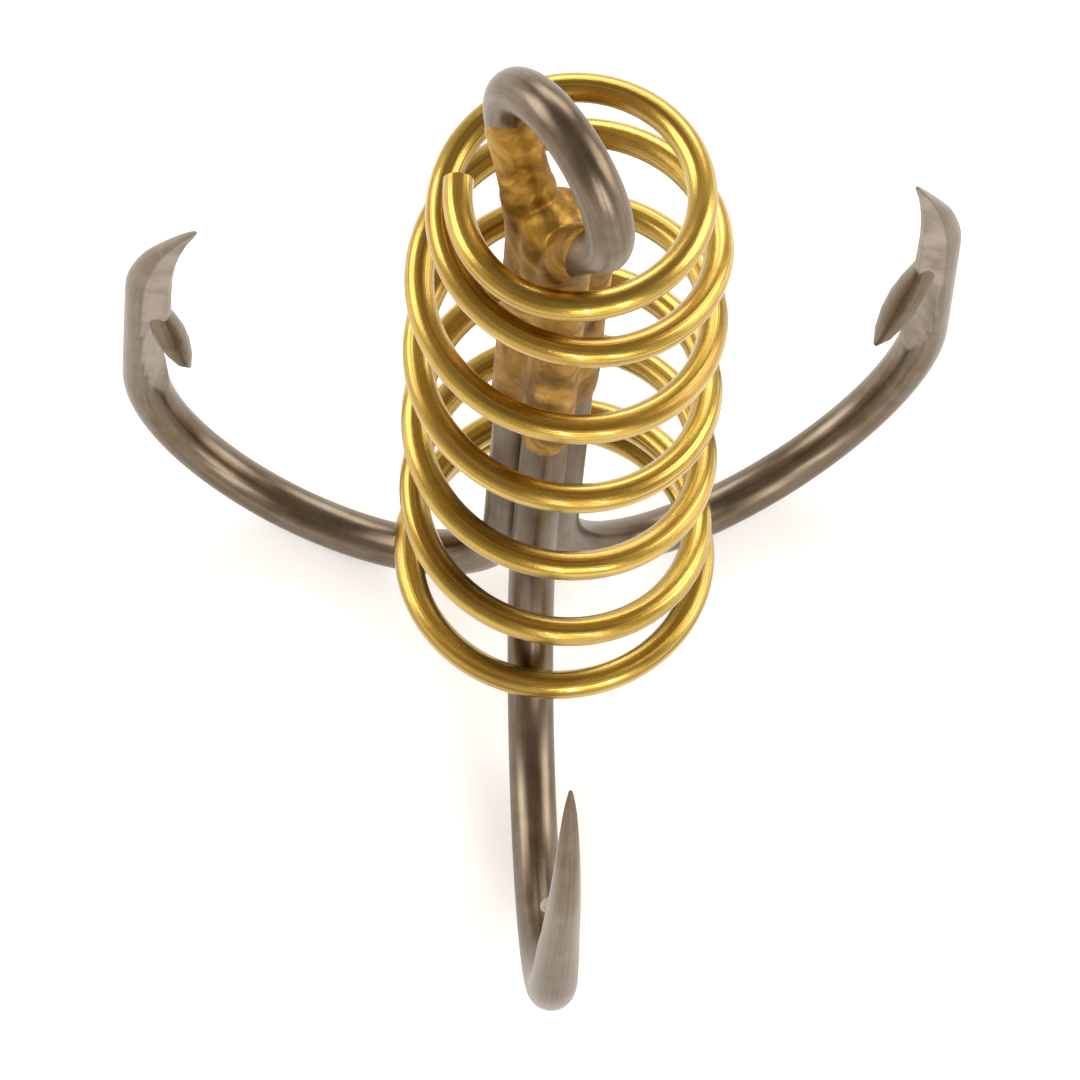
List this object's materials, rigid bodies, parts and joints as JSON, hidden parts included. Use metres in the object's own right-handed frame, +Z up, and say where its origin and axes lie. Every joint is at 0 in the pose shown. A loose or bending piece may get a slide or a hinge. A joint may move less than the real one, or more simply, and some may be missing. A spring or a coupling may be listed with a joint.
{
  "type": "treble hook with bait spring",
  "caption": "Barbed treble fishing hook of brazed plated wire with a round line eye and a loose brass bait spring round its shank.",
  "frame": {"origin": "on the shank's axis, at the height of the lowest point of the three bends", "axes": "+Z up the shank towards the eye, -Y towards the front hook, +X towards the rear hook"},
  "size_m": [0.0202, 0.0196, 0.0273],
  "materials": {
    "plated_steel": "satin",
    "braze_alloy": "satin",
    "brass": "polished"
  },
  "bodies": {
    "hook": {"double_hook": "plated_steel", "single_hook": "plated_steel", "braze_sleeve": "braze_alloy"},
    "spring": {"bait_spring": "brass"}
  },
  "joints": [
    {"name": "spring_turn", "type": "hinge", "parent": "hook", "child": "spring", "pos_m": [0.00067, 0.00043, 0], "axis": [-0.027, 0.037, 0.999], "range_deg": [-235, 15]}
  ]
}
